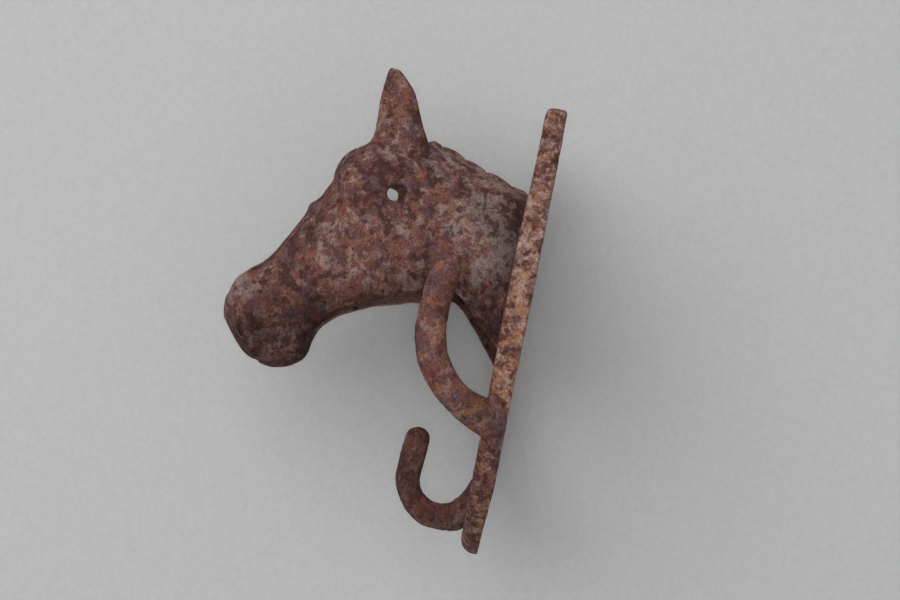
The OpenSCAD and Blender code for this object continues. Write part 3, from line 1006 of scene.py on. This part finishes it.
def rust(name, look):
    """Mottled rust: scale, orange bloom, dark spots, pale film and worn bare metal, with painted
    light, painted glints and painted shade over it.
    """
    n = Nodes(name)
    patch = look["patch"]

    def layer(under, value, fade, over, reach=1.0):
        """Lays a colour over another where a value is within its fade."""
        return n.mix(n.between(value, *FADE[fade], reach), under, over)

    # Slow drift that gathers purple and dark spots into groups and keeps film out of them
    drift = n.math("SUBTRACT", n.noise(24, 2, 0.5, 0, 4.4), 0.5)
    cluster = n.math("MULTIPLY", drift, look["cluster"])
    tone = n.noise(patch, 4, 0.56, 0.3)
    colour = layer(look["brown"], tone, "red", look["red"])
    purple = n.math("ADD", n.noise(patch * 1.1, 4, 0.56, 0.3, 3.1), cluster)
    colour = layer(colour, purple, "purple", look["purple"], look["purple_share"])
    # Painted light raises the orange bloom
    painted_light = n.math("MULTIPLY", n.attribute("painted_light"), PAINTED_LIGHT_LIFT)
    bloom = n.math("ADD", n.noise(patch * 0.8, 5, 0.62, 0.3, 7.7), painted_light)
    colour = layer(colour, bloom, "orange", look["orange"], look["orange_share"])
    pale = n.math("MULTIPLY", n.attribute("pale"), PALE_LIFT)
    film = n.math("SUBTRACT", n.noise(patch * 0.7, 6, 0.66, 0.3, 11.3), cluster)
    colour = layer(colour, n.math("ADD", film, pale), "film", look["film"], look["film_share"])
    bare = n.attribute("bare")
    colour = layer(colour, bare, "bare", look["grey"], BARE_SHARE)
    spots = n.math("SUBTRACT", n.noise(look["spot"], 4, 0.6, 0.3, 5.9), cluster)
    colour = layer(colour, spots, "spot", look["dark"], look["spot_share"])
    # Painted light on the inner walls of the hollow
    colour = n.mix(n.attribute("inside"), colour, INSIDE_PAINTED_LIGHT)
    colour = layer(colour, n.attribute("pit"), "pit", look["dark"], PIT_SHARE)
    grain = n.noise(1.0, 4, 0.75)
    light = n.mix(n.between(grain, *FADE["grain"]), GRAIN_DARK, GRAIN_LIGHT)
    colour = n.mix(look["grain"], colour, light, "MULTIPLY")
    colour = layer(colour, n.noise(0.6, 1, 0.5, 0, 2.2), "glint", GLINT, GLINT_SHARE)
    # The deep attribute darkens the colour: painted shade, and on the toe hook also a darker rust
    # tone
    deep = n.between(n.attribute("deep"), *FADE["deep"])
    colour = n.mix(deep, colour, SHADE_TINT, "MULTIPLY")
    shader = n.add("ShaderNodeBsdfPrincipled")
    n.put(shader.inputs["Base Color"], colour)
    rough = n.math("SUBTRACT", ROUGHNESS, n.math("MULTIPLY", bare, BARE_GLOSS))
    n.put(shader.inputs["Roughness"], rough)
    n.put(shader.inputs["Specular IOR Level"], SPECULAR)
    relief = n.add("ShaderNodeBump")
    n.put(relief.inputs["Strength"], BUMP_STRENGTH)
    n.put(relief.inputs["Distance"], BUMP_DEPTH)
    n.put(relief.inputs["Height"], n.math("ADD", grain, n.noise(2.4, 4, 0.65, 0, 9.1)))
    n.put(shader.inputs["Normal"], relief.outputs["Normal"])
    out = n.add("ShaderNodeOutputMaterial")
    n.put(out.inputs["Surface"], shader.outputs["BSDF"])
    return n.material


# Colours of the rust's layers and their shares, the sizes of patches and spots in mm, and
# the strengths of the grain and of the grouping
RUST = {
    "brown": (0.095, 0.042, 0.035), "red": (0.15, 0.055, 0.043), "purple": (0.08, 0.047, 0.06),
    "purple_share": 0.7, "orange": (0.21, 0.096, 0.06), "orange_share": 0.65,
    "film": (0.275, 0.185, 0.162), "film_share": 0.8, "grey": (0.18, 0.143, 0.131),
    "dark": (0.047, 0.018, 0.0145), "spot_share": 0.85, "patch": 6.5, "spot": 4.6, "grain": 0.4,
    "cluster": 0.4,
}
# What each material slot changes in it
LOOKS = {
    "head_iron": {},
    "shoe_iron": {"red": (0.18, 0.075, 0.055), "orange": (0.29, 0.138, 0.075),
                  "orange_share": 0.75, "film": (0.33, 0.22, 0.185), "film_share": 0.85,
                  "purple_share": 0.3, "dark": (0.055, 0.02, 0.016), "patch": 5.5, "spot": 3.6,
                  "grain": 0.45, "cluster": 0.12},
    "rod_iron": {"brown": (0.105, 0.045, 0.033), "orange": (0.23, 0.098, 0.05),
                 "orange_share": 0.8, "film_share": 0.5, "spot_share": 0.55,
                 "purple_share": 0.65, "patch": 8.0},
    "weld": {"brown": (0.07, 0.034, 0.027), "red": (0.11, 0.045, 0.034), "orange_share": 0.45,
             "film_share": 0.35},
}
MATERIALS = {slot: rust(slot, {**RUST, **LOOKS[slot]}) for slot in LOOKS}


def finish_piece(o, slot, node):
    """Gives a piece its material, puts it under the root body and hides the CAD part that it
    stands in for.
    """
    o.data.materials.clear()
    o.data.materials.append(MATERIALS[slot])
    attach(o, "root")
    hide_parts(node)


# ---- stage ------------------------------------------------------------------------

CAMERA_AT = Vector((0.8, -0.005, 0.0195))
CAMERA_TO = Vector((0, -0.0333, 0.0895))
ROLL = math.radians(-11.1)
LENS, SENSOR = 76.5, 36
# The floor lies just outside the far side of the part
FLOOR_GAP, FLOOR_HALF = 0.0006, 1.6
FLOOR_DARK, FLOOR_LIGHT = (0.46, 0.46, 0.455), (0.5, 0.5, 0.495)
# Lights as (distance in m, diameter in m, power in W). The front light is small and by the
# camera, and shows the inner wall through the eye hole.
KEY, FILL, FRONT = (1.6, 1.7, 15), (1.8, 1.8, 1.6), (1.0, 0.12, 1.2)
SKY, SKY_STRENGTH = (0.77, 0.785, 0.8, 1), 0.62


def camera_axes():
    """The view's right, up and forward directions."""
    forward = (CAMERA_TO - CAMERA_AT).normalized()
    right = forward.cross(Vector((0, 0, 1))).normalized()
    up = right.cross(forward)
    return (right * math.cos(ROLL) - up * math.sin(ROLL),
            right * math.sin(ROLL) + up * math.cos(ROLL), forward)


def camera():
    right, up, forward = camera_axes()
    data = bpy.data.cameras.new("camera")
    data.lens, data.sensor_width = LENS, SENSOR
    data.clip_start = 0.01
    o = placed("camera", data)
    turn = Matrix((right, up, -forward)).transposed().to_4x4()
    o.matrix_world = Matrix.Translation(CAMERA_AT) @ turn
    bpy.context.scene.camera = o


def floor_material():
    """Pale floor that shows from the object's side only."""
    n = Nodes("floor")
    shader = n.add("ShaderNodeBsdfPrincipled")
    tint = n.mix(n.between(n.noise(2.5, 6, 0.7), 0.3, 0.7), FLOOR_DARK, FLOOR_LIGHT)
    n.put(shader.inputs["Base Color"], tint)
    n.put(shader.inputs["Roughness"], 0.95)
    clear = n.add("ShaderNodeBsdfTransparent")
    both = n.add("ShaderNodeMixShader")
    n.put(both.inputs["Fac"], n.add("ShaderNodeNewGeometry").outputs["Backfacing"])
    n.put(both.inputs[1], shader.outputs["BSDF"])
    n.put(both.inputs[2], clear.outputs["BSDF"])
    out = n.add("ShaderNodeOutputMaterial")
    n.put(out.inputs["Surface"], both.outputs["Shader"])
    return n.material


def floor():
    x, s = cad_box[0].x - FLOOR_GAP, FLOOR_HALF
    mesh = bpy.data.meshes.new("floor")
    mesh.from_pydata([(x, -s, -s), (x, s, -s), (x, s, s), (x, -s, s)], [], [(0, 1, 2, 3)])
    o = placed("floor", mesh)
    mesh.materials.append(floor_material())


def area_light(name, way, distance, size, power):
    """A round light in the given direction from the middle of the view, aimed at it."""
    data = bpy.data.lights.new(name, "AREA")
    data.shape, data.size, data.energy = "DISK", size, power
    o = placed(name, data)
    o.location = CAMERA_TO + way.normalized() * distance
    o.rotation_mode = "QUATERNION"
    o.rotation_quaternion = (-way).to_track_quat("-Z", "Y")


def lights():
    right, up, _ = camera_axes()
    over = Vector((1, 0, 0))
    area_light("key", over - right * 0.44 + up * 0.44, *KEY)
    area_light("fill", over + right * 0.25 - up * 0.15, *FILL)
    area_light("front", CAMERA_AT - CAMERA_TO, *FRONT)
    world = bpy.data.worlds.new("world")
    bpy.context.scene.world = world
    world.use_nodes = True
    sky = world.node_tree.nodes["Background"]
    sky.inputs["Color"].default_value = SKY
    sky.inputs["Strength"].default_value = SKY_STRENGTH


# ---- scene ------------------------------------------------------------------------

camera()
floor()
lights()
bpy.context.scene.view_settings.view_transform = "Standard"
head()
mane()
forelock()
nose_seam()
for side, name in SIDES:
    ear(side, name)
side_hook()
toe_hook()
horseshoe()
bridge()
welds()
